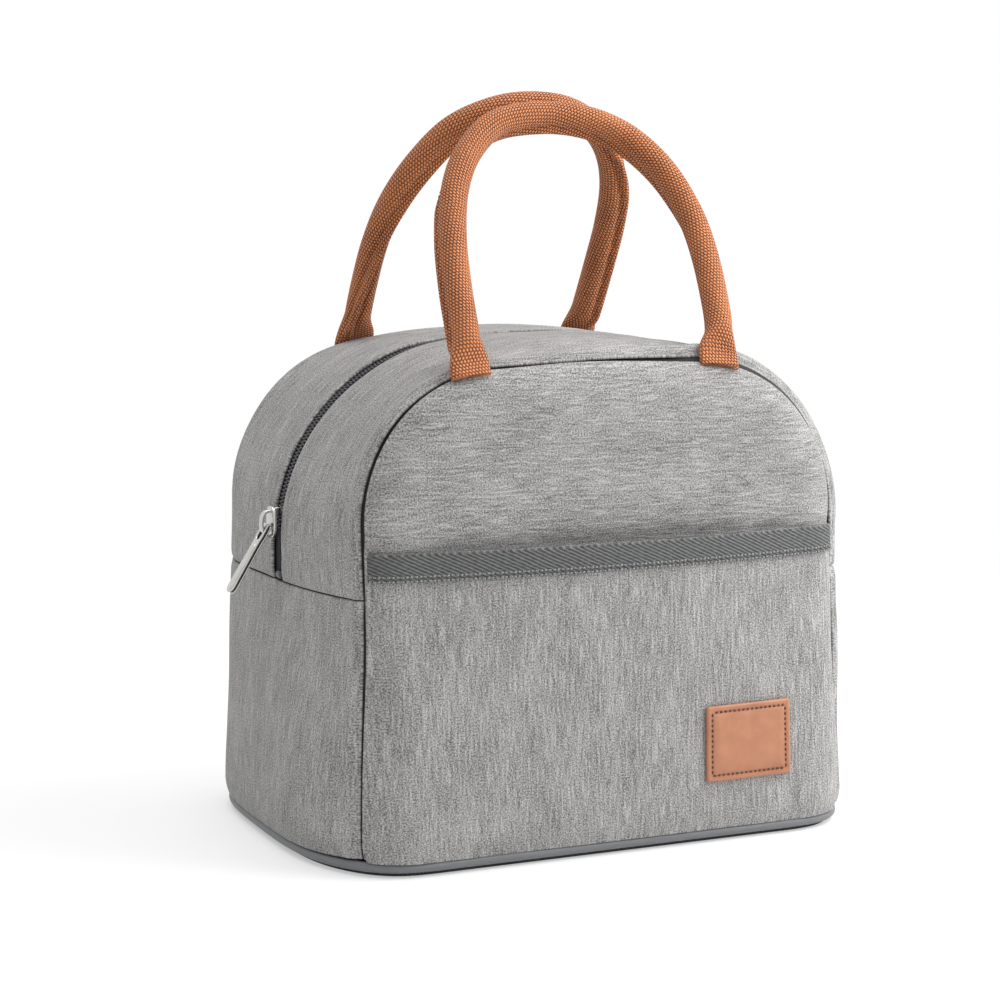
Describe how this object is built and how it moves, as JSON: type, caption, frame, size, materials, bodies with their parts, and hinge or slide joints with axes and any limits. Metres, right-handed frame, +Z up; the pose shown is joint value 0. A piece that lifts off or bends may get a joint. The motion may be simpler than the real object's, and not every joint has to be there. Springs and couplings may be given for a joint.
{
  "type": "insulated lunch bag",
  "caption": "Soft insulated lunch bag with a domed zipped top, slip pocket across the front, leather patch, piped base and rolled webbing handles.",
  "frame": {"origin": "middle of the base panel, on the floor", "axes": "+X to the right seen from the front, +Y from front to back, +Z up"},
  "size_m": [0.2336, 0.1682, 0.2823],
  "materials": {
    "heather_cloth": "heather weave, matte",
    "foam": "closed-cell foam",
    "lining_film": "metallised film, silvery",
    "base_cloth": "plain weave, matte",
    "piping": "smooth",
    "board": "plain",
    "twill_webbing": "diagonal twill",
    "leather": "smooth, stitched edge",
    "zip_tape": "woven tape",
    "zip_coil": "nylon coil",
    "nickel": "polished nickel plate",
    "handle_webbing": "diagonal woven webbing",
    "handle_cord": "plain cord"
  },
  "bodies": {
    "bag": {"front_panel_lower": "heather_cloth", "rear_panel_lower": "heather_cloth", "left_side_panel": "heather_cloth", "right_side_panel": "heather_cloth", "front_gusset_ends": "heather_cloth", "rear_gusset_ends": "heather_cloth", "pocket_panel": "heather_cloth", "pocket_hem": "twill_webbing", "patch": "leather", "front_foam_lower": "foam", "rear_foam_lower": "foam", "left_foam": "foam", "right_foam": "foam", "front_lining_lower": "lining_film", "rear_lining_lower": "lining_film", "left_lining": "lining_film", "right_lining": "lining_film", "base_panel": "base_cloth", "base_piping": "piping", "base_board": "board", "base_foam": "foam", "base_lining": "lining_film", "zip_tape_ends": "zip_tape", "zip_end_stops": "zip_coil"},
    "front_half": {"front_panel_upper": "heather_cloth", "front_gusset_panel": "heather_cloth", "front_foam_upper": "foam", "front_gusset_foam": "foam", "front_lining_upper": "lining_film", "front_gusset_lining": "lining_film", "front_zip_tape": "zip_tape", "front_zip_coil": "zip_coil"},
    "rear_half": {"rear_panel_upper": "heather_cloth", "rear_gusset_panel": "heather_cloth", "rear_foam_upper": "foam", "rear_gusset_foam": "foam", "rear_lining_upper": "lining_film", "rear_gusset_lining": "lining_film", "rear_zip_tape": "zip_tape", "rear_zip_coil": "zip_coil"},
    "front_handle": {"front_handle_webbing": "handle_webbing", "front_handle_core": "handle_cord"},
    "rear_handle": {"rear_handle_webbing": "handle_webbing", "rear_handle_core": "handle_cord"},
    "slider": {"zip_slider": "nickel"},
    "tab": {"pull_tab": "nickel"}
  },
  "joints": [
    {"name": "front_half_swing", "type": "hinge", "parent": "bag", "child": "front_half", "pos_m": [0, -0.0739, 0.122], "axis": [1, 0, 0], "range_deg": [0, 35]},
    {"name": "rear_half_swing", "type": "hinge", "parent": "bag", "child": "rear_half", "pos_m": [0, 0.0739, 0.122], "axis": [-1, 0, 0], "range_deg": [0, 35]},
    {"name": "front_handle_swing", "type": "hinge", "parent": "front_half", "child": "front_handle", "pos_m": [0, -0.06185, 0.1853], "axis": [1, 0, 0], "range_deg": [0, 155]},
    {"name": "rear_handle_swing", "type": "hinge", "parent": "rear_half", "child": "rear_handle", "pos_m": [0, 0.06185, 0.1853], "axis": [-1, 0, 0], "range_deg": [0, 155]},
    {"name": "slider_run", "type": "hinge", "parent": "rear_half", "child": "slider", "pos_m": [-0.0385, 0, 0.12078], "axis": [0, 1, 0], "range_deg": [0, 72]},
    {"name": "pull_tab_swing", "type": "hinge", "parent": "slider", "child": "tab", "pos_m": [-0.1102, 0, 0.1208], "axis": [0, 1, 0], "range_deg": [-29, 143]}
  ],
  "couplings": [
    {"joint": "rear_half_swing", "follows": "front_half_swing", "ratio": 1}
  ]
}
